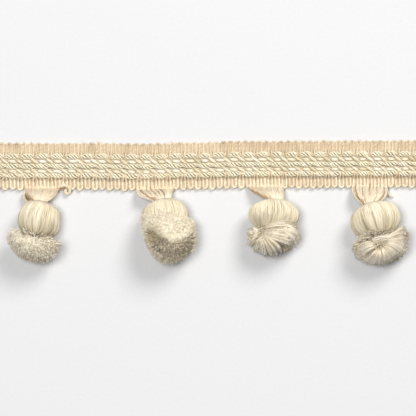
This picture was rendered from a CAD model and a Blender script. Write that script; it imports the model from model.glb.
"""Pompom fringe trim in unbleached yarn: a woven tape with looped edges, three laid cords and silky
floats along its middle, and four cut pompoms that hang from gathered loops.

X runs along the tape, Y points from the pompoms to the tape's free edge, and Z is up from the table.
Lengths are in millimetres until a piece is spun. Every piece lies where its solid in the frame lies.
"""

import math

import bmesh
import bpy
import numpy as np
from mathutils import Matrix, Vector


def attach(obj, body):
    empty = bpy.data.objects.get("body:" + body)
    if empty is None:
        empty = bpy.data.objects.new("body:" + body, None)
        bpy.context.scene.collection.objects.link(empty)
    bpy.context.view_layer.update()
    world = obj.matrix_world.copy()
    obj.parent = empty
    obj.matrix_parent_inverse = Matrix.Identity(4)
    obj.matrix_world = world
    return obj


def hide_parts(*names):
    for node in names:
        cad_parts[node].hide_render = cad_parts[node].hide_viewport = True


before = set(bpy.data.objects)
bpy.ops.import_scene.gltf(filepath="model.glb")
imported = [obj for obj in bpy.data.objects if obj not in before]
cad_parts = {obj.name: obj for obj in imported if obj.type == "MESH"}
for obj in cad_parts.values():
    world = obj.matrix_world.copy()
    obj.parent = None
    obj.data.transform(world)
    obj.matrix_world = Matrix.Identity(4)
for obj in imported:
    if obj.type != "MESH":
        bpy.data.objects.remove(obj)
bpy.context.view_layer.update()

MM = 0.001

# The weave, as the frame has it.
RIBS = 124
RIB_PITCH_LEFT = 1.363
RIB_PITCH_RIGHT = 1.249
RIBS_PER_PUFF = 4
FIRST_TIE = 2
LENGTH = RIBS * (RIB_PITCH_LEFT + RIB_PITCH_RIGHT) / 2
SWAY_X = np.array((-82.0, -38.0, -27.0, -4.0, 12.0, 82.0))
SWAY_Y = np.array((-0.20, -0.20, -0.45, 0.00, 0.45, 0.70))
TAPE_BED = 0.90
TAPE_EDGE = -8.85
GROUND_TOP = 7.75
GROUND_LOW = 8.42
GROUND_ROWS = 16
GROUND_BACK = 0.05
GROUND_SCALLOP = 0.22
GROUND_TIE_SCALLOP = 0.40

# Weft ribs: one yarn that runs to and fro across the tape. The cords cover what lies nearer the middle and
# lower than RIB_HIDDEN: (y, height). Tones drift as (spacing, lowest, highest).
RIB_YARN = 0.27
RIB_SPREAD = 0.21
RIB_LAY = 1.5
RIB_HEIGHT = 1.18
RIB_STEP = 0.42
RIB_SWELL = 0.32
RIB_TONES = (7.0, 0.25, 0.85)
RIB_BLOTCHES = (3.0, -0.3, 0.12)
RIB_HIDDEN = (3.6, 0.99)
TOP_EDGE = 8.05
PICOT_HALF = 0.69
PICOT_EDGE = -8.50
PICOT_LONG = 0.25
TIE_HALF = 0.44

# A tie's way over the upper cord, under the middle one and over the lower one: (y, height).
TIE_ROUTE = ((3.9, 2.65), (3.2, 2.9), (2.6, 2.2), (1.8, 1),
             (-2.9, 1), (-3.25, 2.4), (-3.8, 2.95), (-4.4, 2.6))

# Laid cords: (piece, solid, y, height of the middle). A tie narrows a cord, pulls it to the middle of the
# tape and dips it. Tones drift as (spacing in puffs, lowest, highest).
CORDS = (
    ("laid_cord_upper", "cord_upper", 3.35, 2.26),
    ("laid_cord_middle", "cord_middle", -0.35, 2.26),
    ("laid_cord_lower", "cord_lower", -3.65, 2.26),
)
CORD_PLIES = 4
CORD_TURNS = 1.12
CORD_TURN = 0.86
CORD_YARN = 0.22
CORD_SPREAD = 0.14
CORD_LAY = 2.1
CORD_CORE = 0.66
CORD_PINCH = 0.56
CORD_PINCH_POWER = 2.4
CORD_SWELLING = (0.93, 1.07)
CORD_PULL = 0.28
CORD_DIP = 0.1
CORD_TONES = (0.4, 0.36, 0.94)
CORD_SIDE_SHADE = 0.16

# Floats in the grooves: (piece, solid, y). They lie over a bed of warp. On a puff and across a tie, a float
# has its strands' spacing and radius, and its tones.
FLOATS = (
    ("silky_float_upper", "float_upper", 1.48),
    ("silky_float_lower", "float_lower", -2.10),
)
FLOAT_BED = 1.95
FLOAT_RISE = 1.45
FLOAT_STRANDS = 3
PUFF_FLOAT = (0.3, 0.23)
PUFF_FLOAT_TONES = (0.62, 0.9)
PUFF_FLOAT_LEAN = 0.14
TIE_FLOAT = (0.32, 0.25)
TIE_FLOAT_TONES = (0.25, 0.85)
TIE_FLOAT_LEAN = 1.05
WARP_LINES = (-0.62, -0.2, 0.2, 0.62)
WARP_HEIGHT = 2.0
WARP_RADIUS = 0.3

# Pompoms as the frame has them: (neck, waist, head radius, skirt reach, skirt depth, aim).
POMPOMS = (
    ((-59.9, -13.1, 5.2), (-62.4, -26, 7.8), 7.8, 10.2, 8.2, (-0.45, -0.63, 0.63)),
    ((-16.4, -12.6, 5.2), (-14, -25.4, 8.8), 8.3, 9.9, 8.8, (0.24, -0.5, 0.83)),
    ((22.9, -12.8, 5.2), (23.9, -23.4, 8.2), 9.1, 9.7, 7.4, (0.08, -0.8, 0.6)),
    ((58.5, -13.9, 5.2), (61.9, -25.7, 8.4), 9, 10.8, 8.4, (0.06, -0.7, 0.71)),
)

# A head's profile from neck (0) to waist (1), and a skirt's rim as angles from its axis.
HEAD_WAY = np.array((0, 0.03, 0.07, 0.13, 0.25, 0.5, 0.72, 0.88, 0.96, 1.02))
HEAD_WIDTH = np.array((0.27, 0.34, 0.52, 0.74, 0.93, 1, 0.94, 0.74, 0.55, 0.44))
WAIST_RADIUS = 0.44
SKIRT_BACK_ANGLE = math.radians(93)
SKIRT_FRONT_ANGLE = math.radians(70)

# How the yarn of a head and of a skirt is laid. A ball is a core's steps round it and down it, and
# BRUSH_WAY is where a cut end's points lie, as shares of its length from the waist.
HEAD_YARNS = 340
HEAD_RADII = (0.17, 0.24)
HEAD_LOCKS = 60
HEAD_BALL = (24, 14)
BRUSH_LOCKS = (1150, 1080, 1100, 1080)
BRUSH_WAY = np.array((0.55, 0.78, 0.89, 0.96, 1.0))
BRUSH_RADII = (0.13, 0.19)
SKIRT_BALL = (32, 20)
LOCK_FIBRES = 5
LOCK_SPREAD = 0.065
COVERED_FIBRES = 3
GOLDEN_ANGLE = 2.39996
BRUSH_CORE = 0.78

# How far each skirt reaches out from its waist by the angle in the tape's plane, against an even one.
EDGE_ANGLES = (-180, -160, -145, -130, -115, -100, -85, -70, -55, -40, -25, -10, 5, 20, 60, 120, 180)
SKIRT_EDGE = (
    (1.03, 0.98, 1, 0.97, 0.96, 0.97, 0.97, 1.02, 1.09, 1.12, 1.04, 1.04, 1.06, 1, 1, 1, 1.03),
    (0.97, 0.87, 0.89, 0.94, 1, 1.04, 1.07, 1.05, 1.07, 1.06, 1.06, 1, 0.97, 1, 1, 1, 0.97),
    (1, 1.05, 1.05, 1, 1, 0.98, 0.96, 0.99, 1.02, 1.02, 0.96, 0.95, 0.92, 1, 1, 1, 1),
    (1.05, 1.05, 1.05, 1.04, 1, 0.99, 1, 1, 1.05, 1, 1.03, 0.95, 0.95, 0.92, 1, 1, 1.05),
)

# Dimples on top of the skirts, where their yarn is gathered: (x, y, how deep).
DIMPLES = ((0, 0, 0), (0, 0, 0), (19.4, -24, 3.2), (61.4, -28.6, 3.4))

# Where fluff bridges the waist, as half an egg: (x, y, half width, half length, height of rim and of top).
HULLS = ((), (-14.6, -23.2, 9.2, 9.6, 5, 18.6), (), ())
HULL_YARNS = 170
HULL_RADII = (0.19, 0.24)

# The second pompom's cut ends are olive in one spot, in metres: (place, reach, colour).
OLIVE_SPOT = ((-0.0185, -0.0245, 0.0150), 0.0050, (168, 150, 92))

# Where the cut ends are shorter, under gathered yarn or fluff: (from x, to x, above y, how long they are).
COVERED = ((-67, -55.5, -26.4, 0.86), (0, 0, 0, 1), (15.2, 30.5, -25.4, 0.82), (57.6, 70, -27.6, 0.8))

# How each skirt is combed: the way its cut ends bend, how far, how freely, and how many in a hundred shine.
BRUSHES = (
    ((0.45, -0.85, 0.1), 2.2, 0.6, 22),
    ((0.15, -0.5, 0.2), 0.9, 0.9, 7),
    ((0.6, -0.6, 0.1), 0.7, 0.6, 10),
    ((0.2, -0.8, 0.1), 0.7, 0.6, 10),
)

# The tone of each skirt's cut ends, and spots with another: (x, y, reach in x, reach in y, tone).
BRUSH_TONES = (
    (0.74, ((-68, -32.4, 5, 1.8, 0.3), (-61, -35.2, 7, 1.3, 0.3), (-62, -30.5, 6, 2.6, 0.55),
            (-61, -26.6, 9, 1.8, 0.7))),
    (0.66, ((-11.2, -28.8, 5, 3.1, 0.02), (-17.6, -26.4, 3.6, 3, 0.28), (-18.4, -24.6, 3, 2, 0.2))),
    (0.5, ((27.7, -29.5, 3.8, 2.8, 0.1), (20, -33.5, 7, 1.3, 0.25))),
    (0.5, ((66.4, -33.4, 4.6, 2.1, 0.12), (60, -35.8, 7, 1.3, 0.25), (55, -27.5, 2.5, 1.6, 0.15))),
)

# The two edges of the cut face that the second pompom's darker fluff covers.
FLUFF_FACE = (
    ((-21.2, -23.6), (-17.2, -24.8), (-13, -27.2), (-8.6, -26.6), (-5.6, -24.6)),
    ((-20.6, -26.6), (-17, -30.6), (-12.8, -32.6), (-8.6, -31.6), (-5.8, -28.6)),
)

# Fluff between two edges: (first edge, second edge, fibres, tones, length, radius, the way it is combed,
# how freely).
FLUFF = (
    (
        (((-70, -24), (-66, -24.3), (-62, -25.8), (-57, -26.6), (-53.6, -27.2)),
         ((-69.2, -27.8), (-66.4, -29.4), (-63, -31), (-59, -32.2), (-55.4, -31.8)),
         1500, (0.35, 1), 1.7, 0.15, (0.5, -0.8), 0.55),
        (((-69.8, -24.4), (-66.8, -24.6)),
         ((-69, -27), (-65.2, -27.4)), 90, (0.8, 1), 2.6, 0.24, (0.5, -0.8), 0.3),
    ),
    (
        (((-22.9, -20), (-20, -18.4), (-17.1, -17), (-14.2, -17.6), (-10.6, -18.4), (-7, -18.8),
          (-4.9, -20.5)),
         ((-21.8, -24.6), (-20.3, -22.4), (-18.2, -23.4), (-15.7, -25.2), (-13.1, -26.7), (-9.5, -26.7),
          (-6.7, -25), (-4.9, -23.2)), 2700, (0.9, 1), 1.2, 0.15, (-0.5, -0.8), 0.7),
        (((-23, -18.5), (-20.5, -15.4), (-17, -13.8), (-13.2, -13.8), (-9.4, -15.8), (-7, -18.4)),
         ((-22.9, -20.6), (-20, -18.8), (-17.1, -17.6), (-14.2, -18.2), (-10.6, -18.8), (-7, -19.4)),
         620, (0.75, 1), 1.6, 0.13, (-0.45, -0.9), 0.45),
        (((-17.6, -16.6), (-15.6, -15.2)),
         ((-12.8, -19.4), (-11.6, -16)), 160, (0.6, 1), 1.2, 0.14, (-0.6, -0.5), 0.6),
        (((-6.6, -20.5), (-5.2, -24), (-5.4, -28), (-6.6, -31)),
         ((-5.2, -20.5), (-4.4, -24), (-4.6, -28), (-5.8, -31)),
         300, (0.7, 1), 1, 0.14, (0.3, -0.6), 0.6),
        (((-22, -23.5), (-21.4, -27), (-20, -30.5), (-17, -33.5)),
         ((-20.6, -23.5), (-19.8, -27), (-18.4, -30), (-15.6, -32.5)),
         420, (0.5, 0.9), 1, 0.15, (-0.4, -0.6), 0.6),
        (*FLUFF_FACE, 1200, (0, 0.5), 1.2, 0.16, (0.1, -0.3), 0.7),
        (*FLUFF_FACE, 180, (0.5, 0.9), 1.5, 0.14, (0.1, -0.3), 0.8),
    ),
    (
        (((17.8, -22.6), (20.4, -22.4)),
         ((18.2, -25.4), (20.6, -25.4)), 110, (0.4, 1), 1.2, 0.15, (0.1, -0.8), 0.8),
    ),
    (
        (((60.2, -28), (61.6, -27.8), (62.8, -28.2)),
         ((60.4, -29.8), (61.6, -30.4), (62.8, -29.8)), 110, (0.4, 1), 1.1, 0.15, (0.1, -0.8), 0.8),
    ),
)

# Swaths of combed yarn on top of each pompom, between two edges that are given as (x, y) stops:
# (first edge, second edge, strands, tones, radius, how much shorter some are, strands in a lock).
# A share of the locks lies in shade.
SHADED_SHARE = 0.36
SWATH_SHADE = 0.45
SWATHS = (
    (),
    (),
    (
        (((18.9, -24.6), (17.1, -26.1), (15.4, -27.6), (14.3, -28.8)),
         ((19.2, -23.4), (17.8, -22.4), (16.3, -22.2), (15, -22.8)), 150, (0.35, 1), 0.17, 0.12, 3),
        (((18.8, -24.8), (17.8, -26.8), (16.6, -28.8), (15.6, -30.2)),
         ((19.2, -25), (19.6, -27.4), (20.4, -30), (21.2, -33.2)), 150, (0.2, 1), 0.16, 0.12, 2),
        (((19.6, -24.4), (22.8, -26.5), (25.2, -28.4), (27, -30.8)),
         ((19, -24.9), (19.8, -27.5), (21, -30.2), (22.6, -33.2)), 180, (0.1, 1), 0.17, 0.18, 3),
        (((19.4, -22.8), (23, -20.9), (28.2, -20.2), (32.6, -21.8)),
         ((19.2, -24.8), (23.2, -26.6), (27.4, -27.9), (31.2, -29)), 300, (0.45, 1), 0.16, 0.16, 3),
        (((28.5, -22.2), (31.2, -22.9), (32.9, -24.6), (32.6, -27.6)),
         ((27.9, -24.6), (29.7, -25.8), (31.2, -27.3), (31, -29.6)), 70, (0.5, 1), 0.18, 0.2, 3),
    ),
    (
        (((61.4, -29.1), (61.8, -31), (62.1, -33.2), (62.4, -36)),
         ((60.9, -29), (59, -31), (56.6, -33.2), (55, -34.8)), 170, (0.3, 1), 0.15, 0.1, 2),
        (((60.8, -28.8), (58, -30.2), (55.2, -32.2), (53.4, -33.8)),
         ((60.3, -28.2), (57.4, -27.4), (54.4, -28.4), (51.6, -29.8)), 170, (0.4, 1), 0.15, 0.1, 2),
        (((61.8, -28.5), (64.5, -28.5), (67.4, -29.8), (70.2, -32.4)),
         ((61.5, -29.1), (62.1, -31), (62.7, -33.4), (63, -35.8)), 170, (0.35, 1), 0.15, 0.14, 2),
        (((58.4, -26), (61.4, -25.2), (64.6, -24.6)),
         ((58.6, -28.4), (61.8, -28), (65, -27.4)), 120, (0.6, 1), 0.17, 0.12, 3),
        (((63, -25.8), (66, -24.2), (68.6, -22.8), (70.6, -22.4)),
         ((63.6, -28.2), (66.4, -29.2), (69, -30.8), (70.8, -32.2)), 190, (0.5, 1), 0.15, 0.12, 2),
    ),
)

# Heads: where the strands gather at the waist (dx), the core's girth, a valley between two lobes (angle,
# depth), how far the head leans (dx) and its girth at the steps from neck to waist, and darker streaks
# (degrees, reach, strength).
HEAD_GATHER = (0, 0, -3, 0)
HEAD_CORE = (0.94, 0.86, 0.94, 0.94)
HEAD_VALLEY = ((0, 0), (0.12, 0.12), (0, 0), (0, 0))
HEAD_STEPS = (0, 0.15, 0.5, 0.8, 1)
HEAD_SHIFT = (
    (0.4, 1, 0.8, 1.2, 1.2),
    (0, 0, 0, -0.8, -1.6),
    (-0.3, -0.3, 0.5, 1.1, 0.6),
    (0, -0.1, 0, 0, 0),
)
HEAD_GIRTH = (
    (0.95, 0.92, 0.94, 1.02, 1),
    (1, 1, 1, 1.06, 1.3),
    (0.92, 0.93, 0.97, 0.92, 1),
    (0.97, 0.98, 1, 1, 1),
)
HEAD_STREAKS = (
    ((-12, 9, 0.45), (-46, 10, 0.5), (12, 6, 0.3), (55, 14, 0.2)),
    (),
    ((22, 9, 0.25), (44, 8, 0.2)),
    ((31, 10, 0.28), (-19, 5, 0.22), (5, 8, 0.1)),
)

# Loops of weft above each pompom, from left to right: (x at the edge, bow to the left, x at the neck, tone,
# half width).
LOOPS = (
    ((-64.8, 0.5, -61.9, 0.35, 0.52), (-63.7, 0.4, -61.6, 0.35, 0.52), (-62.6, 0.3, -61.2, 0.5, 0.55),
     (-61.6, 0.2, -60.8, 0.6, 0.55), (-60.5, 0.1, -60.4, 0.62, 0.55), (-59.4, 0, -60, 0.58, 0.55),
     (-58.3, -0.1, -59.6, 0.65, 0.55), (-57.2, -0.2, -59.2, 0.6, 0.55), (-56.2, -0.4, -58.8, 0.55, 0.55),
     (-55.1, -0.6, -58.4, 0.5, 0.55), (-54.2, -0.8, -58.1, 0.35, 0.52)),
    ((-25.1, 1.6, -19.4, 0.75, 0.47), (-22.9, 0.7, -18.2, 1, 0.5), (-21.2, 0.4, -17.2, 0.95, 0.48),
     (-19.5, 0, -16.3, 1, 0.48), (-18, -0.4, -15.6, 0.9, 0.44), (-15.6, -0.5, -14.9, 0.85, 0.46),
     (-14.7, -0.3, -14.5, 0.95, 0.46), (-13.7, -0.1, -14.2, 0.9, 0.46), (-12.8, 0.2, -13.8, 0.8, 0.46)),
    ((15.1, 0.1, 22.9, 0.25, 0.5), (16.2, 0, 23.1, 0.25, 0.5), (17.3, -0.1, 23.4, 0.4, 0.5),
     (18.4, -0.2, 23.8, 0.75, 0.54), (19.6, -0.3, 24.2, 0.95, 0.57), (20.9, -0.3, 24.6, 1, 0.57),
     (22.1, -0.3, 25, 0.95, 0.57), (23.4, -0.2, 25.5, 0.95, 0.57), (24.7, -0.1, 25.9, 0.9, 0.57),
     (25.9, 0, 26.3, 0.85, 0.5), (26.8, 0.1, 26.6, 0.8, 0.5)),
    ((52.4, 1, 55.6, 0.5, 0.44), (54, 0.9, 56.3, 0.9, 0.42), (55.1, 0.7, 56.8, 1, 0.42),
     (56.5, 0.5, 57.4, 0.8, 0.41), (57.5, 0.2, 57.9, 1, 0.41), (59.1, 0, 58.4, 0.9, 0.41),
     (60.3, -0.3, 58.9, 1, 0.41), (61.6, -0.5, 59.5, 0.8, 0.41), (62.8, -0.8, 60, 0.95, 0.41),
     (64.2, -1.1, 60.6, 0.8, 0.41)),
)
LOOP_YARNS = (7, 6, 6, 5)
LOOP_RADII = (0.23, 0.28)
LOOP_LAY = (22, 40)
LOOP_MIX = (0.14, 0.22, 0.16, 0.25)

# Shaded yarn that shows between those loops, as (x at the edge, bow, x at the neck).
SHADED_LOOPS = (
    ((-65, 0.6, -62),),
    ((-24, 1.15, -18.8), (-22, 0.55, -17.7), (-20.3, 0.2, -16.8), (-18.7, -0.2, -15.9),
     (-16.8, -0.45, -15.3)),
    ((14.7, 0.25, 22.6), (17, 0, 23.2)),
    ((53.2, 1, 56), (55.8, 0.6, 57.1), (58.4, 0.1, 58.1), (61.2, -0.4, 59.2), (63.9, -0.95, 60.3)),
)

# Loose yarn beside the first pompom: (piece, solid, route, shaded route inside it), and the cut end beside
# the last pompom.
LOOSE_YARNS = (
    ("curled_loop", "pulled_picot",
     ((-64.6, -8.8, 1), (-65.5, -9.9, 1.6), (-65.9, -11.3, 2.2), (-65.1, -12.9, 3), (-63.6, -13.3, 4.2),
      (-62.6, -12.2, 5), (-62.9, -10.7, 4.6), (-63.9, -10.1, 3.4), (-64.5, -11, 2.4)),
     ((-64.3, -9.2, 1), (-65, -10.2, 1.2), (-64.9, -11.6, 1.5), (-64, -12.4, 2), (-63.3, -11.4, 2.4),
      (-63.5, -10.4, 1.8), (-64.2, -10.9, 1.4))),
    ("knotted_loop", "loose_loop",
     ((-53.8, -8.1, 1.4), (-52.7, -7.6, 1.9), (-51.3, -7.3, 2.3), (-50, -7.9, 2.4), (-49.5, -9, 2.1),
      (-49.8, -10.1, 1.6), (-50.6, -10.4, 1.2), (-51.2, -9.6, 1.3), (-50.7, -8.8, 1.6)),
     ((-53, -8.6, 0.9), (-52, -8.6, 1.1), (-50.9, -9, 1.2), (-50.4, -9.7, 1))),
)
CUT_END = ((63.6, -8.6, 0.9), (64.8, -10, 1), (65.8, -11, 0.8), (66.8, -11.6, 0.5))

# Hairs, and the lines that they stand out of.
HAIRS = 400
HAIR_LINES = (7.9, 8.1, 6.5, 3.0, -3.8, -6.5, -8.2)
HAIR_RADIUS = 0.035
HAIR_LENGTHS = (0.5, 1.2)
HAIR_LIMITS = (-9.4, 9.3)

# Light: the world's strength, and lamps as (name, place, size, power, colour).
WORLD_LIGHT = 0.18
LAMPS = (
    ("key", (0.48, 0.70, 1.00), 0.60, 10.9, (1.0, 0.99, 0.975)),
    ("overhead", (-0.32, 0.10, 1.60), 0.60, 17.1, (1.0, 1.0, 1.0)),
)

# Table top and camera, in metres: half the table's side, how far it lies under the tape, the camera's
# height and how wide its view is. The middle of the view is in millimetres.
FLOOR_SIZE = 4.0
FLOOR_GAP = 0.0002
FLOOR_COLOURS = ((219, 219, 220), (225, 225, 226))
VIEW_DISTANCE = 1.2
VIEW_WIDTH = 0.14976
VIEW_MIDDLE = (0.18, -15.48)

# Each strand's run starts this much further on than the last one's, so that their slubs differ.
RUN_STEP = 41.7
RUN_TURN = 4001
UP = (0.0, 0.0, 1.0)
SEED = 11


# Yarn


def rib_x(rib):
    """Where a rib's number falls along the tape."""
    closing = (RIB_PITCH_RIGHT - RIB_PITCH_LEFT) / (2 * RIBS)
    return -LENGTH / 2 + rib * RIB_PITCH_LEFT + closing * rib**2


def ease(share):
    """Ease a share from 0 to 1."""
    share = np.clip(share, 0.0, 1.0)
    return share * share * (3 - 2 * share)


def sway(x):
    """How far the tape's centre line is from straight at x."""
    span = np.clip(np.searchsorted(SWAY_X, x) - 1, 0, len(SWAY_X) - 2)
    share = ease((x - SWAY_X[span]) / (SWAY_X[span + 1] - SWAY_X[span]))
    return SWAY_Y[span] + (SWAY_Y[span + 1] - SWAY_Y[span]) * share


def bell(apart, reach):
    """A share that is 1 at no distance, and falls off over the reach."""
    return np.exp(-((apart / reach) ** 2))


def unit(rows):
    """Rows of vectors at length 1."""
    rows = np.asarray(rows, float)
    return rows / np.maximum(np.linalg.norm(rows, axis=-1, keepdims=True), 1e-9)


def path_through(stops, spacing):
    """A smooth path through a few stops, with a point about every spacing."""
    stops = np.asarray(stops, float)
    padded = np.vstack((2 * stops[0] - stops[1], stops, 2 * stops[-1] - stops[-2]))
    pieces = []
    for a, b, c, d in zip(padded, padded[1:], padded[2:], padded[3:]):
        count = max(1, round(float(np.linalg.norm(c - b)) / spacing))
        t = np.linspace(0, 1, count, endpoint=False)[:, None]
        bend = (2 * a - 5 * b + 4 * c - d) * t**2
        pieces.append(0.5 * (2 * b + (c - a) * t + bend + (3 * b - a - 3 * c + d) * t**3))
    return np.vstack((*pieces, stops[-1:]))


def run_of(path):
    """Length along a path at each of its points."""
    return np.concatenate(([0.0], np.cumsum(np.linalg.norm(np.diff(path, axis=0), axis=1))))


def twisted(path, strands, spread, lay, turn=0.0):
    """Strands twisted round a path: spread is their distance from it, and lay the length of one turn."""
    along = unit(np.gradient(path, axis=0))
    aside = unit(np.cross(along, UP))
    rise = np.cross(aside, along)
    run = run_of(path)
    spread = np.broadcast_to(np.asarray(spread, float), run.shape)[:, None]
    twists = []
    for strand in range(strands):
        angle = (math.tau * (run / lay + strand / strands) + turn)[:, None]
        twists.append(path + (aside * np.sin(angle) + rise * np.cos(angle)) * spread)
    return twists


def drift(chance, run, spacing, low, high):
    """A value that wanders between low and high along a run."""
    marks = np.arange(run.min() - spacing, run.max() + 2 * spacing, spacing)
    return np.interp(run, marks, chance.uniform(low, high, len(marks)))


def add_object(name, data):
    """Put data in the scene as an object."""
    thing = bpy.data.objects.new(name, data)
    bpy.context.scene.collection.objects.link(thing)
    return thing


def mesh_from(name, bm):
    """Close a bmesh into a mesh."""
    mesh = bpy.data.meshes.new(name)
    bm.to_mesh(mesh)
    bm.free()
    return mesh


def mark_points(mesh, **marks):
    """Give each point of a mesh the numbers that its dye reads."""
    for mark, values in marks.items():
        layer = mesh.attributes.new(mark, "FLOAT", "POINT")
        layer.data.foreach_set("value", values.astype(np.float32))


class Skein:
    """Strands that are spun into one piece. Each has a tone of its own, from 0 to 1."""

    def __init__(self, sides):
        self.sides = sides
        self.strands = []

    def lay(self, path, radius, tone=0.5, depth=0.0):
        """Add a strand. Its marks may change along it. Depth shades it from 0 (open) to 1 (buried)."""
        path = np.asarray(path, float)
        marks = (radius, np.clip(tone, 0, 1), np.clip(depth, 0, 1))
        self.strands.append((path, *(np.broadcast_to(mark, (len(path),)) for mark in marks)))

    def spin(self, name):
        """Make the strands a mesh piece with closed ends."""
        ring = bpy.data.curves.new("ring", "CURVE")
        outline = ring.splines.new("POLY")
        outline.points.add(self.sides - 1)
        outline.use_cyclic_u = True
        for number, point in enumerate(outline.points):
            angle = math.tau * number / self.sides
            point.co = (math.cos(angle), math.sin(angle), 0.0, 1.0)
        ring = add_object("ring", ring)
        curve = bpy.data.curves.new(name, "CURVE")
        curve.dimensions = "3D"
        curve.bevel_mode = "OBJECT"
        curve.bevel_object = ring
        for path, radius, _, _ in self.strands:
            spline = curve.splines.new("POLY")
            spline.points.add(len(path) - 1)
            spline.points.foreach_set("co", np.hstack((path * MM, np.ones((len(path), 1)))).ravel())
            spline.points.foreach_set("radius", radius * MM)
        spool = add_object(name, curve)
        graph = bpy.context.evaluated_depsgraph_get()
        mesh = bpy.data.meshes.new_from_object(spool.evaluated_get(graph))
        for thing in (ring, spool):
            bpy.data.objects.remove(thing, do_unlink=True)
        mesh.name = name
        starts = [number * RUN_STEP % RUN_TURN for number in range(len(self.strands))]
        marks = {
            "tone": [tone for _, _, tone, _ in self.strands],
            "depth": [depth for _, _, _, depth in self.strands],
            "run": [run_of(row[0]) + start for row, start in zip(self.strands, starts)],
        }
        for mark, rows in marks.items():
            mark_points(mesh, **{mark: np.repeat(np.concatenate(rows), self.sides)})
        bm = bmesh.new()
        bm.from_mesh(mesh)
        bmesh.ops.holes_fill(bm, edges=[edge for edge in bm.edges if edge.is_boundary], sides=self.sides)
        bm.to_mesh(mesh)
        bm.free()
        return place_piece(name, mesh)


def place_piece(name, mesh):
    """Put a mesh in the scene as a piece that rides on the trim."""
    piece = add_object(name, mesh)
    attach(piece, "root")
    return piece


def joined(name, pieces):
    """Join pieces into the first of them."""
    bm = bmesh.new()
    for piece in pieces:
        bm.from_mesh(piece.data)
    bm.to_mesh(pieces[0].data)
    bm.free()
    for piece in pieces[1:]:
        bpy.data.objects.remove(piece, do_unlink=True)
    pieces[0].name = name
    return pieces[0]


# Finishes


class Sum:
    """A socket that can be used in sums."""

    def __init__(self, dye, socket):
        self.dye = dye
        self.socket = socket

    def math(self, operation, first, second):
        return self.dye.node("ShaderNodeMath", {"operation": operation}, first, second)

    def __add__(self, other):
        return self.math("ADD", self, other)

    def __sub__(self, other):
        return self.math("SUBTRACT", self, other)

    def __rsub__(self, other):
        return self.math("SUBTRACT", other, self)

    def __mul__(self, other):
        return self.math("MULTIPLY", self, other)

    def clamped(self):
        return self.dye.node("ShaderNodeClamp", {}, self)


class Dye:
    """A yarn finish: a material whose nodes are added one by one."""

    def __init__(self, name, roughness=0.6, sheen=0.0, sheen_roughness=0.4, specular=0.4):
        self.material = bpy.data.materials.new(name)
        self.material.use_nodes = True
        self.tree = self.material.node_tree
        self.shader = self.tree.nodes["Principled BSDF"]
        sockets = ("Roughness", "Sheen Weight", "Sheen Roughness", "Specular IOR Level")
        for socket, value in zip(sockets, (roughness, sheen, sheen_roughness, specular)):
            self.shader.inputs[socket].default_value = value

    def node(self, kind, settings, *inputs, output=0, **named):
        """Add a node: its settings first, then the values or links of its sockets."""
        node = self.tree.nodes.new(kind)
        for key, value in settings.items():
            if key == "stops":
                while len(node.color_ramp.elements) < len(value):
                    node.color_ramp.elements.new(0.5)
                for stop, (place, colour) in zip(node.color_ramp.elements, value):
                    stop.position = place
                    stop.color = colour
            else:
                setattr(node, key, value)
        for socket, value in [*zip(node.inputs, inputs), *((node.inputs[k], v) for k, v in named.items())]:
            if isinstance(value, Sum):
                self.tree.links.new(value.socket, socket)
            elif value is not None:
                socket.default_value = value
        return Sum(self, node.outputs[output])

    def mark(self, name):
        """A number that the strands carry."""
        return self.node("ShaderNodeAttribute", {"attribute_name": name}, output="Fac")

    def place(self):
        return self.node("ShaderNodeTexCoord", {}, output="Object")

    def noise(self, where, scale, detail=2.0, rough=0.5):
        named = {"Vector": where, "Scale": scale, "Detail": detail, "Roughness": rough}
        return self.node("ShaderNodeTexNoise", {}, **named)

    def blend(self, share, first, second):
        """A colour between two colours. The mix node's sockets 1 to 5 are for other kinds of value."""
        unused = [None] * 5
        return self.node("ShaderNodeMix", {"data_type": "RGBA"}, share, *unused, first, second, output=2)

    def feed(self, socket, value):
        self.tree.links.new(value.socket, self.shader.inputs[socket])

    def bump(self, height, strength, reach):
        bump = self.node("ShaderNodeBump", {}, Strength=strength, Distance=reach, Height=height)
        self.feed("Normal", bump)


def linear(red, green, blue):
    """A colour given as sRGB numbers from 0 to 255."""
    shares = [channel / 255 for channel in (red, green, blue)]
    shares = [s / 12.92 if s <= 0.04045 else ((s + 0.055) / 1.055) ** 2.4 for s in shares]
    return (*shares, 1.0)


def yarn_dye(name, stops, roughness=0.6, sheen=0.25, slub=0.35, specular=0.4, tints=(), deep=None):
    """Yarn whose tone runs through the stops from strand to strand and along each one, and darkens inside.
    Tints are (place, reach, colour) in metres, for yarn that has another tone in one spot."""
    dye = Dye(name, roughness, sheen, 0.35, specular)
    tone, depth, run = dye.mark("tone"), dye.mark("depth"), dye.mark("run")
    slubs = dye.noise(dye.node("ShaderNodeCombineXYZ", {}, run * 0.3, 0.5, 0.5), 1.0, 3.0)
    place = dye.place()
    wear = dye.noise(place, 190.0, 2.0)
    level = tone * 0.8 + (slubs - 0.5) * (2.4 * slub) + (wear - 0.5) * 0.45 + 0.1
    shades = [(at, linear(*colour)) for at, colour in stops]
    colour = dye.node("ShaderNodeValToRGB", {"stops": shades}, level.clamped())
    for spot, reach, tint in tints:
        apart = dye.node("ShaderNodeVectorMath", {"operation": "DISTANCE"}, place, spot, output="Value")
        near = (1.0 - apart * (1.0 / reach)).clamped()
        colour = dye.blend(near * 0.8, colour, linear(*tint))
    colour = dye.blend((depth * 0.9).clamped(), colour, linear(*(deep or stops[0][1])))
    dye.feed("Base Color", colour)
    fine = dye.noise(place, 5200.0, 2.0, 0.6)
    coarse = dye.noise(place, 1700.0, 2.0, 0.6)
    dye.bump(fine * 0.5 + coarse * 0.8, 0.3, 0.00012)
    dye.feed("Roughness", (coarse * 0.2 + (roughness - 0.1)).clamped())
    return dye.material


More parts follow.
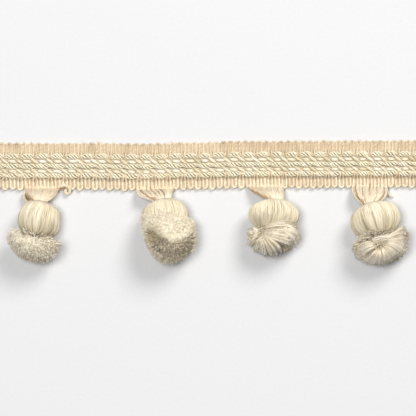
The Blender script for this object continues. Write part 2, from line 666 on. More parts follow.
def weft_dye():
    """Peach weft, matt."""
    tones = ((0, (188, 164, 130)), (0.45, (222, 202, 170)), (1, (248, 235, 208)))
    return yarn_dye("weft_yarn", tones, 0.7, 0.3, deep=(150, 124, 92))


def cord_dye():
    """Creamy cords, dark between their plies."""
    tones = ((0, (214, 197, 158)), (0.4, (249, 238, 205)), (1, (255, 252, 234)))
    return yarn_dye("cord_yarn", tones, 0.42, 0.35, deep=(122, 104, 72))


def float_dye():
    """Silky floats, from straw to nearly white."""
    tones = ((0, (186, 168, 122)), (0.4, (226, 211, 176)), (0.7, (244, 233, 210)), (1, (254, 247, 236)))
    return yarn_dye("float_yarn", tones, 0.35, 0.3, 0.2, deep=(140, 120, 86))


def loop_dye():
    """Peach loops, a little glossier than the weft."""
    tones = ((0, (202, 178, 144)), (0.4, (231, 214, 185)), (1, (252, 241, 219)))
    return yarn_dye("loop_yarn", tones, 0.5, 0.35, deep=(158, 128, 92))


def head_dye():
    """Silky cream for the heads."""
    tones = ((0, (176, 160, 126)), (0.35, (231, 218, 188)), (1, (254, 246, 224)))
    return yarn_dye("head_yarn", tones, 0.4, 0.2, 0.25, deep=(128, 116, 88))


def skirt_dye():
    """Cream for the skirts, duller at the cut ends."""
    tones = ((0, (164, 149, 121)), (0.3, (209, 194, 166)), (0.65, (241, 229, 204)), (1, (253, 247, 231)))
    return yarn_dye("skirt_yarn", tones, 0.45, 0.35, deep=(122, 108, 80))


def brush_dye():
    """The second pompom's brown cut ends, with an olive spot at the left."""
    tones = ((0, (118, 106, 82)), (0.25, (166, 152, 126)), (0.6, (228, 213, 186)), (0.8, (252, 240, 214)),
             (1, (255, 248, 226)))
    return yarn_dye("brush_yarn", tones, 0.45, 0.35, tints=(OLIVE_SPOT,), deep=(122, 108, 80))


def finish_piece(piece, material, slot, *solids):
    """Give a piece its finish and say which solids it stands for."""
    piece.data.materials.clear()
    piece.data.materials.append(material)
    if solids:
        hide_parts(*solids)
    return piece


# Tape


def tape_ground():
    """The tape's woven ground, a thin flat cloth under the ribs and cords."""
    bm = bmesh.new()
    bmesh.ops.create_grid(bm, x_segments=RIBS * 2, y_segments=GROUND_ROWS, size=0.5)
    for vert in bm.verts:
        rib = (vert.co.x + 0.5) * RIBS
        x = rib_x(rib)
        across = vert.co.y * 2
        tie = 0.5 + 0.5 * math.cos(math.tau * (rib - FIRST_TIE) / RIBS_PER_PUFF)
        scallop = GROUND_SCALLOP * math.cos(math.tau * rib / 2) + GROUND_TIE_SCALLOP * tie**3
        reach = GROUND_TOP if across > 0 else GROUND_LOW + scallop * max(0.0, -across) ** 6
        wave = 0.05 * math.cos(math.tau * rib) - 0.25 * max(0.0, abs(across) - 0.85) / 0.15
        y = across * reach + sway(x)
        vert.co = (x * MM, y * MM, (TAPE_BED - 0.08 + wave) * MM)
    bmesh.ops.recalc_face_normals(bm, faces=bm.faces)
    if sum(face.normal.z for face in bm.faces) < 0:
        bmesh.ops.reverse_faces(bm, faces=bm.faces)
    lowered = bmesh.ops.extrude_face_region(bm, geom=list(bm.faces))["geom"]
    kept = {item for item in lowered if isinstance(item, bmesh.types.BMVert)}
    for vert in bm.verts:
        if vert not in kept:
            vert.co.z = GROUND_BACK * MM
    bmesh.ops.recalc_face_normals(bm, faces=bm.faces)
    for face in bm.faces:
        face.smooth = True
    return place_piece("tape_ground", mesh_from("tape_ground", bm))


def ground_dye():
    """Peach ground cloth with fine warp lines and darker crossings."""
    dye = Dye("ground_cloth", 0.85, 0.3, 0.5, 0.25)
    place = dye.place()
    stretched = dye.node("ShaderNodeMapping", {}, Vector=place, Scale=(900.0, 2600.0, 900.0))
    weave = dye.noise(stretched, 1.0, 2.0)
    patches = dye.noise(place, 130.0, 2.0)
    share = (weave * 1.1 + patches * 0.7 - 0.4).clamped()
    dye.feed("Base Color", dye.blend(share, linear(206, 184, 152), linear(230, 211, 182)))
    dye.bump(weave, 0.6, 0.0002)
    dye.feed("Roughness", weave * 0.1 + 0.8)
    return dye.material


def rib_route(chance, rib):
    """One rib from the tape's free edge to the middle of its picot, with the turn to the next rib last."""
    number = rib + 0.5
    x = rib_x(number)
    centre = rib + 1 if rib % 2 else rib
    tie = (centre - FIRST_TIE) % RIBS_PER_PUFF == 0
    leg = rib_x(centre) + (number - centre) * 2 * PICOT_HALF
    near = rib_x(centre) + (number - centre) * 2 * TIE_HALF
    lean = chance.uniform(-0.06, 0.06)
    high = RIB_HEIGHT + chance.uniform(-0.07, 0.07)
    push = chance.uniform(-0.12, 0.12)
    route = [(x + lean, TOP_EDGE - 0.45 + push, high - 0.3), (x + lean, 7.0, high), (x, 6.0, high + 0.02),
             (x, 5.1, high)]
    if tie:
        route.append((x * 0.6 + near * 0.4, 4.45, high + 0.7))
        route += [(near, y, z) for y, z in TIE_ROUTE]
        route.append((near * 0.5 + leg * 0.5, -4.95, 1.9))
    else:
        route += [(x, 4.4, high - 0.1), (x, 3.8, 0.95), (x, -3.9, 0.95), (x, -4.6, high - 0.1)]
    edge = PICOT_EDGE - (PICOT_LONG if tie else 0.0) + push
    route += [(leg, -5.5, high + 0.05), (leg, -6.4, high + 0.05), (leg, -7.3, high - 0.02),
              (leg, edge + 0.5, high - 0.16)]
    route = [(px, py + sway(px), pz) for px, py, pz in route]
    if rib % 2:
        return route + [(rib_x(centre), edge + sway(x), high - 0.28)]
    arch = (rib_x(rib + 1), TOP_EDGE + chance.uniform(-0.1, 0.15) + sway(x), high - 0.38)
    return route[::-1] + [arch]


def weft_ribs(chance):
    """One two-ply weft yarn, laid to and fro as ribs, with loops at both edges and ties over the cords."""
    path = path_through([stop for rib in range(RIBS) for stop in rib_route(chance, rib)], RIB_STEP)
    hidden = (np.abs(path[:, 1]) < RIB_HIDDEN[0]) & (path[:, 2] < RIB_HIDDEN[1])
    path = path[~hidden | (np.arange(len(path)) % 4 == 0)]
    skein = Skein(5)
    run = run_of(path)
    blotch = drift(chance, path[:, 0], *RIB_BLOTCHES)
    for strand in twisted(path, 2, RIB_SPREAD, RIB_LAY):
        mood = drift(chance, run, *RIB_TONES)
        low = 1 - ease((path[:, 1] + 5.2) / 0.8)
        top = ease((path[:, 1] - 5.6) / 1.6)
        tone = mood + 0.28 * low + (blotch - 0.04) * top
        skein.lay(strand, RIB_YARN * (1 + RIB_SWELL * low), tone)
    return skein.spin("weft_ribs")


def laid_cord(chance, name, y, height):
    """A fat cord of four plies, each of two yarns, which swells into a puff between ties."""
    rib = np.arange(0, RIBS + 1e-6, 0.25)
    x = rib_x(rib)
    puff = (rib - FIRST_TIE) / RIBS_PER_PUFF
    number = np.floor(puff).astype(int)
    number -= number.min()
    swelling = chance.uniform(*CORD_SWELLING, number.max() + 2)
    pinch = 0.5 + 0.5 * np.cos(math.tau * puff)
    size = 1 - (1 - CORD_PINCH) * pinch**CORD_PINCH_POWER
    size = size * (swelling[number] * (1 - pinch) + pinch)
    pulled = CORD_PULL * pinch * np.sign(-y) + 0.06 * np.sin(puff * 2.1)
    middle = np.stack((x, y + sway(x) + pulled, height - CORD_DIP * pinch), axis=1)
    skein = Skein(5)
    skein.lay(middle, CORD_CORE * size, 0.1, 1.0)
    for ply in range(CORD_PLIES):
        angle = -math.tau * (puff * CORD_TURNS + ply / CORD_PLIES)
        angle += 0.12 * np.sin(puff * 1.7 + ply)
        out = np.stack((np.zeros_like(x), np.sin(angle), np.cos(angle)), axis=1)
        ply_path = middle + out * (CORD_TURN * size)[:, None]
        ply_path[:, 0] += 0.1 * np.sin(puff * 5.3 + ply * 2.0)
        side = CORD_SIDE_SHADE * (1 - ease((np.cos(angle) + 0.6) / 0.8))
        for yarn in twisted(ply_path, 2, CORD_SPREAD * size, CORD_LAY, ply * 1.3):
            tone = drift(chance, puff, *CORD_TONES)
            skein.lay(yarn, CORD_YARN * size**0.5, tone, side)
    return skein.spin(name)


def float_strands(skein, chance, x, y, rise, width, radius, tones):
    """A flat bundle of silk, laid side by side. It rises out of the groove and dives in at both ends."""
    bow = np.clip(rise, 0, 1)
    for strand in range(FLOAT_STRANDS):
        place = strand - (FLOAT_STRANDS - 1) / 2
        height = FLOAT_BED + FLOAT_RISE * bow**0.5 - 0.05 * abs(place)
        path = np.stack((x, y + place * width * (0.35 + 0.65 * bow), height), axis=1)
        thick = radius * (0.55 + 0.45 * bow**0.3)
        skein.lay(path, thick, chance.uniform(*tones), 0.8 * (1 - bow) ** 3)


def silky_float(chance, name, y):
    """A flat silky float on each puff, and strands that slope across each tie, over a bed of warp."""
    skein = Skein(4)
    bed = np.arange(0, RIBS + 0.1, 0.5)
    for aside in WARP_LINES:
        x = rib_x(bed)
        wavy = 0.08 * np.sin(bed * math.tau / RIBS_PER_PUFF + aside * 9)
        path = np.stack((x, y + aside + sway(x) + wavy, WARP_HEIGHT + wavy), axis=1)
        skein.lay(path, WARP_RADIUS, 0.5, 0.3)
    span = np.linspace(-1, 1, 12)
    span = np.sign(span) * np.abs(span) ** 0.7
    for tie in np.arange(FIRST_TIE - RIBS_PER_PUFF, RIBS + RIBS_PER_PUFF, RIBS_PER_PUFF):
        rib = tie + 2 + chance.uniform(-0.15, 0.15) + span * chance.uniform(1.05, 1.4)
        inside = (rib > 0) & (rib < RIBS)
        if inside.sum() > 5:
            x = rib_x(rib[inside])
            line = y + sway(x) - PUFF_FLOAT_LEAN * (rib[inside] - tie - 2) + chance.uniform(-0.1, 0.1)
            tones = chance.uniform(*PUFF_FLOAT_TONES) + np.array((-0.2, 0.15))
            float_strands(skein, chance, x, line, 1 - span[inside] ** 2, *PUFF_FLOAT, tones)
        rib = tie + span * chance.uniform(1.15, 1.4)
        inside = (rib > 0) & (rib < RIBS)
        if inside.sum() > 5:
            x = rib_x(rib[inside])
            line = y + sway(x) - TIE_FLOAT_LEAN * span[inside] + chance.uniform(-0.12, 0.12)
            rise = 0.8 * (1 - span[inside] ** 2)
            float_strands(skein, chance, x, line, rise, *TIE_FLOAT, TIE_FLOAT_TONES)
    return skein.spin(name)


# Pompoms


class Bundle:
    """The lines of one pompom: its neck, waist and the ways round it."""

    def __init__(self, number):
        self.row = number - 1
        neck, waist, self.radius, self.reach, self.depth, aim = POMPOMS[self.row]
        self.neck, self.waist, self.aim = np.array(neck, float), np.array(waist, float), unit(aim)
        self.edge, self.dimple, self.hull = SKIRT_EDGE[self.row], DIMPLES[self.row], HULLS[self.row]
        self.axis = unit(self.waist - self.neck)
        self.side = unit(np.cross(self.axis, UP))
        self.up = unit(np.cross(self.side, self.axis))

    def line(self, way):
        """The places from the neck (0) to the waist (1)."""
        return self.neck + (self.waist - self.neck) * way

    def outward(self, around):
        """The way out from the axis at an angle from the top."""
        around = np.asarray(around, float)[..., None]
        return self.up * np.cos(around) + self.side * np.sin(around)

    def rim_angle(self, around):
        """How far from the axis the skirt's rim stands, at an angle from the top."""
        return SKIRT_FRONT_ANGLE + (SKIRT_BACK_ANGLE - SKIRT_FRONT_ANGLE) * ease(0.5 + 0.5 * np.cos(around))

    def skirt_way(self, share, around):
        """The way that skirt yarn runs, from the middle of the cut face (0) to its rim (1)."""
        angle = self.rim_angle(around)[..., None]
        rim = self.axis * np.cos(angle) + self.outward(around) * np.sin(angle)
        between = np.arccos(np.clip((rim * self.aim).sum(-1), -1, 1))[..., None]
        share = np.asarray(share, float)[..., None]
        parts = self.aim * np.sin((1 - share) * between) + rim * np.sin(share * between)
        return unit(parts / np.sin(between))

    def length(self, way):
        """How long skirt yarn is that runs one way."""
        whole = self.depth + (self.reach - self.depth) * (1 - np.maximum(0.0, way @ self.aim) ** 2)
        turn = np.degrees(np.arctan2(way[..., 1], way[..., 0]))
        flat = np.hypot(way[..., 0], way[..., 1])
        return whole * (1 + (np.interp(turn, EDGE_ANGLES, self.edge) - 1) * flat)

    def drape(self, x, y):
        """Height of the pompom's upper side at x and y: the head or the skirt, and lower past its edge."""
        flat = (self.waist - self.neck)[:2]
        whole = float(np.linalg.norm(flat))
        ahead = ((x - self.neck[0]) * flat[0] + (y - self.neck[1]) * flat[1]) / whole**2
        aside = np.abs((x - self.neck[0]) * flat[1] - (y - self.neck[1]) * flat[0]) / whole
        width = head_width(np.clip(ahead, 0, 1)) * self.radius
        middle = self.neck[2] + (self.waist[2] - self.neck[2]) * np.clip(ahead, 0, 1)
        head = middle + np.sqrt(np.maximum(width**2 - aside**2, 0.0))
        head = np.where((ahead > 0) & (ahead < 1) & (aside < width), head, 0.0)
        out = np.hypot(x - self.waist[0], y - self.waist[1])
        ball = 0.5 * self.depth + 0.5 * self.reach
        skirt = self.waist[2] + np.sqrt(np.maximum(ball**2 - out**2, 0.0))
        skirt = np.where(out < ball, skirt, self.waist[2] - (out - ball) * 1.6)
        apart = np.hypot(x - self.dimple[0], y - self.dimple[1])
        skirt = skirt - self.dimple[2] * bell(apart, 2.4)
        high = np.where((ahead < 0.97) & (head > 0), head, np.maximum(skirt, 0.5))
        if self.hull:
            centre_x, centre_y, half_x, half_y, base, top = self.hull
            apart = ((x - centre_x) / half_x) ** 2 + ((y - centre_y) / half_y) ** 2
            high = np.maximum(high, base + (top - base) * np.sqrt(np.maximum(1 - apart, 0.0)))
        return high


def head_width(way):
    """The head's profile from neck (0) to waist (1), as a share of its radius."""
    fine = np.linspace(-0.1, 1.1, 121)
    width = np.interp(fine, HEAD_WAY, HEAD_WIDTH)
    kernel = np.exp(-0.5 * (np.arange(-6, 7) / 3.0) ** 2)
    smooth = np.convolve(np.pad(width, 6, mode="edge"), kernel / kernel.sum(), mode="valid")
    return np.interp(way, fine, smooth)


def closed_ball(name, steps, place_of, tone, depth):
    """A closed core: place_of gives where each point of a ball goes, from its way down and its angle."""
    bm = bmesh.new()
    bmesh.ops.create_uvsphere(bm, u_segments=steps[0], v_segments=steps[1], radius=1.0)
    for vert in bm.verts:
        down = math.acos(max(-1.0, min(1.0, vert.co.z))) / math.pi
        around = math.atan2(vert.co.y, vert.co.x)
        place = place_of(down, around)
        vert.co = Vector((place[0], place[1], max(place[2], 0.4))) * MM
    bmesh.ops.recalc_face_normals(bm, faces=bm.faces)
    for face in bm.faces:
        face.smooth = True
    mesh = mesh_from(name, bm)
    even = np.ones(len(mesh.vertices))
    mark_points(mesh, tone=even * tone, depth=even * depth, run=even * 0)
    return place_piece(name, mesh)


def head_core(bundle):
    """A closed core inside a head, so that no light falls through the yarn."""

    def place_of(down, around):
        down = 0.04 + 0.96 * down
        width = 0.0 if down in (0.04, 1.0) else float(head_width(down)) * HEAD_CORE[bundle.row]
        width *= float(np.interp(down, HEAD_STEPS, HEAD_GIRTH[bundle.row]))
        place = bundle.line(down) + bundle.outward(around) * width * bundle.radius
        place[0] += float(np.interp(down, HEAD_STEPS, HEAD_SHIFT[bundle.row]))
        place[0] += HEAD_GATHER[bundle.row] * down**1.4 * float(ease(math.cos(around - 0.2) + 0.1))
        return place

    return closed_ball("core", HEAD_BALL, place_of, 0.5, 0.12)


def skirt_core(bundle, tone):
    """A closed core inside a skirt, under the cut ends."""

    def place_of(down, around):
        share = min(1.0, down / 0.7)
        way = bundle.skirt_way(np.array([share]), np.array([around]))[0]
        inward = max(0.0, (down - 0.7) / 0.3)
        place = bundle.waist + way * float(bundle.length(way)) * BRUSH_CORE * (1 - inward)
        place[2] = min(place[2], float(bundle.drape(place[0], place[1])) - 0.6)
        return place

    return closed_ball("core", SKIRT_BALL, place_of, tone * 0.6, 0.5)


def hull_place(bundle, down, around, proud=0.0):
    """A place on the core under the fluff that bridges a waist, by the way down and the angle round it."""
    centre_x, centre_y, half_x, half_y, base, top = bundle.hull
    rise = math.cos(down * math.pi)
    flat = 0.92 * math.sin(down * math.pi) * float(np.interp(rise, (-1.0, 0.0, 0.5), (0.5, 0.62, 1.0)))
    high = base + (top - base - 0.5) * rise if rise > 0 else base + (base - 1.0) * rise
    x = centre_x + (half_x + proud) * flat * math.cos(around)
    y = centre_y + (half_y + proud) * flat * math.sin(around)
    return (x, y, high + proud * rise)


def hull_core(bundle):
    """A closed core under the fluff that bridges a waist."""
    return closed_ball("core", SKIRT_BALL, lambda down, around: hull_place(bundle, down, around), 1.0, 0.0)


def hull_yarns(chance, bundle):
    """Yarn that falls over the sides of that core."""
    skein = Skein(3)
    for yarn in range(HULL_YARNS):
        around = math.tau * (yarn + chance.uniform(-0.5, 0.5)) / HULL_YARNS
        turn = chance.uniform(-0.1, 0.1)
        proud = chance.uniform(0.0, 0.25)
        downs = np.linspace(0.26, 0.72, 6)
        path = np.array([hull_place(bundle, down, around + turn * down, proud) for down in downs])
        path[:, 2] = np.maximum(path[:, 2], 0.3)
        skein.lay(path, chance.uniform(*HULL_RADII), chance.uniform(0.55, 1.0), 0.0)
    return skein.spin("hull_yarns")


def pompom_head(chance, bundle):
    """The bound head: silky yarn from neck to waist over a core."""
    skein = Skein(4)
    way = np.linspace(0.025, 1.02, 11)
    gather = HEAD_GATHER[bundle.row]
    valley, valley_depth = HEAD_VALLEY[bundle.row]
    shift = np.interp(way, HEAD_STEPS, HEAD_SHIFT[bundle.row])
    girth = np.interp(way, HEAD_STEPS, HEAD_GIRTH[bundle.row])
    locks = chance.uniform(0, 1, HEAD_LOCKS + 1)
    for yarn in range(HEAD_YARNS):
        around = math.tau * (yarn + chance.uniform(-0.5, 0.5)) / HEAD_YARNS
        lift = chance.uniform(-0.28, 0.1)
        twist = chance.uniform(-0.06, 0.06)
        angle = around + twist * np.sin(way * math.pi * chance.uniform(0.8, 1.6) + chance.uniform(0, 6))
        width = head_width(way) * girth * bundle.radius + lift * np.sin(np.clip(way, 0, 1) * math.pi) ** 0.5
        signed = (angle + math.pi) % math.tau - math.pi
        dip = valley_depth * bell(signed - valley, 0.3) * bell(way - 0.22, 0.24)
        width = width * (1 - dip)
        path = bundle.line(way[:, None]) + bundle.outward(angle) * width[:, None]
        path[:, 0] += shift + gather * np.clip(way, 0, 1) ** 1.4 * ease(np.cos(signed - 0.2) + 0.1)
        radius = chance.uniform(*HEAD_RADII)
        path[:, 2] = np.maximum(path[:, 2], radius)
        spot = (around / math.tau * HEAD_LOCKS) % HEAD_LOCKS
        lock = float(np.interp(spot, np.arange(HEAD_LOCKS + 1), locks))
        depth = ease((way - 0.4) / 0.5) * (0.1 + 0.35 * (1 - lock) ** 2)
        for centre, reach, strength in HEAD_STREAKS[bundle.row]:
            near = bell(signed - math.radians(centre), math.radians(reach))
            depth = depth + strength * near * ease((way - 0.38) / 0.3) * (0.4 + 0.6 * (lock < 0.6))
        depth = depth + np.clip((way - 0.9) / 0.1, 0, 1) * 0.3 + np.clip((0.06 - way) / 0.1, 0, 1) * 0.15
        tone = 0.26 * lock + 0.72 * chance.uniform(0, 1) + 0.2 * (0.45 - way)
        skein.lay(path, radius, tone, depth)
    waist = [bundle.waist + bundle.axis * (turn - 2) * 0.32 for turn in range(5)]
    neck = [bundle.neck + bundle.axis * (turn * 0.34 - 0.1) for turn in range(4)]
    bindings = ((waist, WAIST_RADIUS * bundle.radius + 0.1, 25, 1.0), (neck, 0.22 * bundle.radius, 21, 0.9))
    for turns, radius, points, bright in bindings:
        for at in turns:
            path = at + bundle.outward(np.linspace(0, math.tau, points)) * radius
            skein.lay(path, 0.2, chance.uniform(0.5, bright), 0.1)
    return joined(f"head_{bundle.row + 1}", [skein.spin("yarns"), head_core(bundle)])


def tone_at(bundle, x, y):
    """The tone of the cut ends at one place of a skirt."""
    tone, shades = BRUSH_TONES[bundle.row]
    for centre_x, centre_y, reach_x, reach_y, shade in shades:
        apart = ((x - centre_x) / reach_x) ** 2 + ((y - centre_y) / reach_y) ** 2
        tone += (shade - tone) * math.exp(-(apart**2))
    return tone


def brush_fibres(chance, bundle):
    """Cut ends all over the skirt, in small locks that are combed one way."""
    comb, bend, loose, bright = BRUSHES[bundle.row]
    covered_from, covered_to, covered_above, short = COVERED[bundle.row]
    comb = unit(comb)
    skein = Skein(3)
    rise = ((BRUSH_WAY - BRUSH_WAY[0]) / (1 - BRUSH_WAY[0]))[:, None]
    locks = BRUSH_LOCKS[bundle.row]
    for lock in range(locks):
        ahead = 1 - 2 * (lock + 0.5) / locks
        around = lock * GOLDEN_ANGLE + chance.uniform(-0.05, 0.05)
        share = math.acos(ahead) / float(bundle.rim_angle(around))
        if share > 1.02:
            continue
        centre = bundle.axis * ahead + bundle.outward(around) * math.sqrt(1 - ahead**2)
        length = float(bundle.length(centre)) * (1 + 0.03 * chance.uniform(-1, 1)) - 0.3 * bend
        lean = (comb * bend + unit(chance.normal(size=3)) * loose) * (1 - 0.75 * ease((share - 0.7) / 0.3))
        lean = lean - centre * float(lean @ centre)
        tip = bundle.waist + centre * length
        covered = covered_from < tip[0] < covered_to and tip[1] > covered_above
        if covered:
            length, lean = length * short, lean * 0.2
        lock_tone = tone_at(bundle, tip[0], tip[1]) + chance.uniform(-0.14, 0.14)
        for _ in range(COVERED_FIBRES if covered else LOCK_FIBRES):
            way = unit(centre + chance.normal(size=3) * LOCK_SPREAD)
            long = length * (1 + 0.025 * chance.uniform(-1, 1))
            hook = lean * (1 + chance.uniform(-0.5, 0.4)) + chance.normal(size=3) * 0.25
            path = bundle.waist + long * BRUSH_WAY[:, None] * way + hook * rise**2.4
            path = path - way * (0.3 * np.linalg.norm(hook)) * rise**5
            path[:, 2] = np.maximum(path[:, 2], 0.22)
            tone = lock_tone + chance.uniform(-0.22, 0.22)
            if chance.uniform(0, 100) < bright:
                tone = chance.uniform(0.8, 1.0)
            depth = np.clip((0.8 - BRUSH_WAY) / 0.3, 0, 1) * 0.5
            skein.lay(path, chance.uniform(*BRUSH_RADII), tone, depth)
    return skein.spin("brush")


def places_on(edge, at, marks):
    """The places at some marks of an edge."""
    return np.stack([np.interp(at, marks, edge[:, axis]) for axis in (0, 1)], axis=-1)


def fluff(chance, bundle):
    """Soft short fibres that stand out of the yarn between two edges."""
    skein = Skein(3)
    steps = np.linspace(0, 1, 4)[:, None]
    for first, second, count, tones, long, radius, comb, loose in FLUFF[bundle.row]:
        first, second = path_through(first, 0.4), path_through(second, 0.4)
        for _ in range(count):
            share, across = chance.uniform(0, 1, 2)
            ends = []
            for edge in (first, second):
                ends.append(places_on(edge, share * (len(edge) - 1), np.arange(len(edge))))
            flat = ends[0] * (1 - across) + ends[1] * across
            high = float(bundle.drape(flat[0], flat[1]))
            way = unit(np.array((*comb, 0.12)) + chance.normal(size=3) * (1.0, 1.0, 0.35) * loose)
            size = long * chance.uniform(0.6, 1.3)
            curl = unit(chance.normal(size=3)) * (1.0, 1.0, 0.3)
            start = np.array((flat[0], flat[1], high - 0.1))
            path = start + way * size * steps + curl * size * 0.3 * steps**2
            path[:, 2] -= 0.25 * size * steps[:, 0] ** 2
            path[:, 2] = np.maximum(path[:, 2], 0.3)
            skein.lay(path, radius * chance.uniform(0.8, 1.2), chance.uniform(*tones), 0.0)
    return skein.spin("fluff")


def combed_swaths(chance, bundle):
    """Longer yarn that lies over the skirt in swaths, each lock with a tone of its own."""
    skein = Skein(4)
    for first, second, strands, tones, radius, shorter, in_lock in SWATHS[bundle.row]:
        steps = np.linspace(0, 1, 9)
        first, second = path_through(first, 0.9), path_through(second, 0.9)
        first, second = (places_on(edge, steps, np.linspace(0, 1, len(edge))) for edge in (first, second))
        tone = 0.5
        for strand in range(strands):
            if strand % in_lock == 0:
                tone = chance.uniform(*tones)
                if chance.uniform(0, 1) < SHADED_SHARE:
                    tone -= SWATH_SHADE
                swerve = chance.normal(size=2) * 0.36
                lock_end = 1 - shorter * chance.uniform(0, 1) ** 1.5
                lift = chance.uniform(-0.15, 0.45)
            share = (strand + chance.uniform(-0.6, 0.6)) / max(1, strands - 1)
            line = first + (second - first) * share
            end = lock_end * (1 - 0.08 * chance.uniform(0, 1))
            flat = places_on(line, steps * end, steps)
            flat = flat + (swerve + chance.normal(size=2) * 0.1) * steps[:, None] ** 1.3
            high = bundle.drape(flat[:, 0], flat[:, 1])
            high = np.convolve(np.pad(high, 1, mode="edge"), (0.25, 0.5, 0.25), mode="valid")
            rise = lift + chance.uniform(-0.12, 0.22)
            high = high + 0.15 + rise * np.sin(steps * math.pi * 0.9) - 0.5 * steps**6
            path = np.column_stack((flat, np.maximum(high, 0.3)))
            near = np.clip((0.18 - steps) / 0.18, 0, 1) * 0.4
            shade = tone + chance.uniform(-0.15, 0.25)
            skein.lay(path, radius * chance.uniform(0.8, 1.1), shade, near)
    return skein.spin("swaths")


def pompom_skirt(chance, bundle):
    """The cut skirt: a core, cut ends all over it, and swaths of longer yarn on top."""
    pieces = [brush_fibres(chance, bundle), skirt_core(bundle, BRUSH_TONES[bundle.row][0])]
    if SWATHS[bundle.row]:
        pieces.append(combed_swaths(chance, bundle))
    if FLUFF[bundle.row]:
        pieces.append(fluff(chance, bundle))
    if bundle.hull:
        pieces.append(hull_core(bundle))
        pieces.append(hull_yarns(chance, bundle))
    return joined(f"skirt_{bundle.row + 1}", pieces)


def loop_path(bundle, edge_x, bow, neck_x, crown):
    """The way of a loop from under the tape's edge, over it and down into a pompom's neck."""
    edge_y = TAPE_EDGE + sway(edge_x)
    neck = np.array((neck_x, bundle.neck[1], bundle.neck[2] + 0.24 * bundle.radius * crown))
    into = neck + bundle.axis * 2.0 + (0.0, 0.0, 0.3)
    under = np.array((edge_x, edge_y + 1.7, 0.4))
    over = np.array((edge_x, edge_y + 0.25, 1.2))
    half = over * 0.5 + neck * 0.5
    half[0] -= bow
    half[2] = over[2] * 0.3 + neck[2] * 0.7 + 0.2 * crown
    return path_through([under, over, half, neck, into], 0.6)


def gathered_loops(chance, bundle):
    """Loops of weft that run from the tape's edge and gather into a pompom's neck."""
    skein = Skein(4)
    routes = LOOPS[bundle.row]
    for rank, (edge_x, bow, neck_x, tone, wide) in enumerate(routes):
        across = 2 * (rank + 0.5) / len(routes) - 1
        path = loop_path(bundle, edge_x, bow, neck_x, math.sqrt(1 - 0.75 * across**2))
        run = np.linspace(0, 1, len(path))
        spread = wide * (0.75 + 0.4 * np.sin(run * math.pi))
        skein.lay(path, spread * 0.9, tone * 0.4, 0.4)
        mix, yarns = LOOP_MIX[bundle.row], LOOP_YARNS[bundle.row]
        for strand in twisted(path, yarns, spread, chance.uniform(*LOOP_LAY), chance.uniform(0, 6)):
            shade = tone + chance.uniform(-mix, mix)
            skein.lay(strand, chance.uniform(*LOOP_RADII), shade)
    for edge_x, bow, neck_x in SHADED_LOOPS[bundle.row]:
        path = loop_path(bundle, edge_x, bow, neck_x, 1.0)
        for strand in twisted(path, 3, 0.22, 9.0):
            skein.lay(strand, 0.26, 0.0, 0.7)
    if bundle.row == len(POMPOMS) - 1:
        for strand in twisted(path_through(CUT_END, 0.4), 2, 0.2, 2.4):
            skein.lay(strand, 0.25, 0.9)
    return skein.spin(f"loops_{bundle.row + 1}")


def loose_yarn(chance, name, route, inside):
    """Yarn that has slipped out of the edge and curled up, over shaded yarn."""
    skein = Skein(6)
    path = path_through(route, 0.35)
    skein.lay(path, 0.34, 0.1, 0.6)
    for strand in twisted(path, 5, 0.36, 3.8):
        skein.lay(strand, 0.25, chance.uniform(0.15, 0.9), 0.1)
    for strand in twisted(path_through(inside, 0.35), 3, 0.3, 5.0):
        skein.lay(strand, 0.3, 0.0, 1.0)
    return skein.spin(name)


def stray_hairs(chance):
    """Fine hairs that stand out of the tape's free edge, its ribs and its cords."""
    skein = Skein(3)
    for _ in range(HAIRS):
        x = chance.uniform(-LENGTH / 2 + 0.5, LENGTH / 2 - 0.5)
        y = chance.choice(HAIR_LINES) + chance.uniform(-0.5, 0.5)
        high = 1.2 if abs(y) > 4.6 else 3.0
        start = np.array((x, y + sway(x), high))
        way = unit(chance.normal(size=3) * (1.0, 1.0, 0.35) + (0, 0.25 * np.sign(y), 0.1))
        bend = unit(chance.normal(size=3)) * (1.0, 1.0, 0.3)
        long = chance.uniform(*HAIR_LENGTHS)
        steps = np.linspace(0, 1, 4)[:, None]
        path = start + way * long * steps + bend * 0.35 * long * steps**2
        path[:, 1] = np.clip(path[:, 1], *HAIR_LIMITS)
        path[:, 2] = np.maximum(path[:, 2], 0.3)
        skein.lay(path, HAIR_RADIUS, chance.uniform(0.5, 1.0))
    return skein.spin("stray_hairs")


# Scene


def lay_floor():
    """A plain pale table top."""
    bm = bmesh.new()
    bmesh.ops.create_grid(bm, x_segments=2, y_segments=2, size=FLOOR_SIZE)
    floor = add_object("floor", mesh_from("floor", bm))
    floor.location.z = -FLOOR_GAP
    dye = Dye("table", 0.9, 0.0, 0.5, 0.1)
    speck = dye.noise(dye.place(), 900.0, 2.0)
    dye.feed("Base Color", dye.blend(speck, *(linear(*colour) for colour in FLOOR_COLOURS)))
    floor.data.materials.append(dye.material)


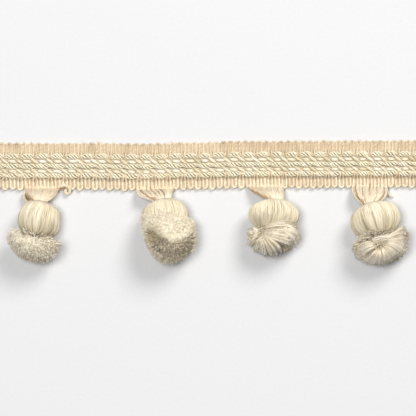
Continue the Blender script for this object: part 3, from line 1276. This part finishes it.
def hang_lamp(name, place, size, energy, colour):
    """A soft round lamp that shines on the trim."""
    lamp = bpy.data.lights.new(name, "AREA")
    lamp.shape = "DISK"
    lamp.size = size
    lamp.energy = energy
    lamp.color = colour
    hung = add_object(name, lamp)
    hung.location = place
    hung.rotation_mode = "QUATERNION"
    hung.rotation_quaternion = Vector(place).to_track_quat("Z", "Y")


def set_light():
    """A soft key from the upper right, a wide soft box overhead, and plain pale light all round."""
    world = bpy.data.worlds.new("studio")
    bpy.context.scene.world = world
    world.use_nodes = True
    background = world.node_tree.nodes["Background"]
    background.inputs["Color"].default_value = (1.0, 1.0, 1.0, 1.0)
    background.inputs["Strength"].default_value = WORLD_LIGHT
    for lamp in LAMPS:
        hang_lamp(*lamp)


def set_camera():
    """Straight above the trim, through a long lens."""
    lens = bpy.data.cameras.new("camera")
    lens.sensor_width = 36.0
    lens.lens = lens.sensor_width * VIEW_DISTANCE / VIEW_WIDTH
    lens.clip_start = 0.05
    lens.clip_end = 20.0
    camera = add_object("camera", lens)
    camera.location = (VIEW_MIDDLE[0] * MM, VIEW_MIDDLE[1] * MM, VIEW_DISTANCE)
    bpy.context.scene.camera = camera
    bpy.context.scene.view_settings.view_transform = "Standard"


def main():
    """Dress the tape, the cords and the pompoms."""
    chance = np.random.default_rng(SEED)
    lay_floor()
    set_light()
    set_camera()

    weft, cord, silk, loop = weft_dye(), cord_dye(), float_dye(), loop_dye()
    head, skirt, brush = head_dye(), skirt_dye(), brush_dye()
    ground = finish_piece(tape_ground(), ground_dye(), "tape", "heading")
    ribs = finish_piece(weft_ribs(chance), weft, "tape", "heading")
    hairs = finish_piece(stray_hairs(chance), weft, "tape")
    for name, solid, y, height in CORDS:
        finish_piece(laid_cord(chance, name, y, height), cord, "cord", solid)
    for name, solid, y in FLOATS:
        finish_piece(silky_float(chance, name, y), silk, "float", solid)
    for number in range(1, len(POMPOMS) + 1):
        bundle = Bundle(number)
        finish_piece(gathered_loops(chance, bundle), loop, "loops", f"hanger_{number}")
        finish_piece(pompom_head(chance, bundle), head, "pompom", f"pompom_{number}")
        cut = brush if bundle.hull else skirt
        finish_piece(pompom_skirt(chance, bundle), cut, "pompom", f"pompom_{number}")
    for name, solid, route, inside in LOOSE_YARNS:
        finish_piece(loose_yarn(chance, name, route, inside), loop, "loops", solid)


main()
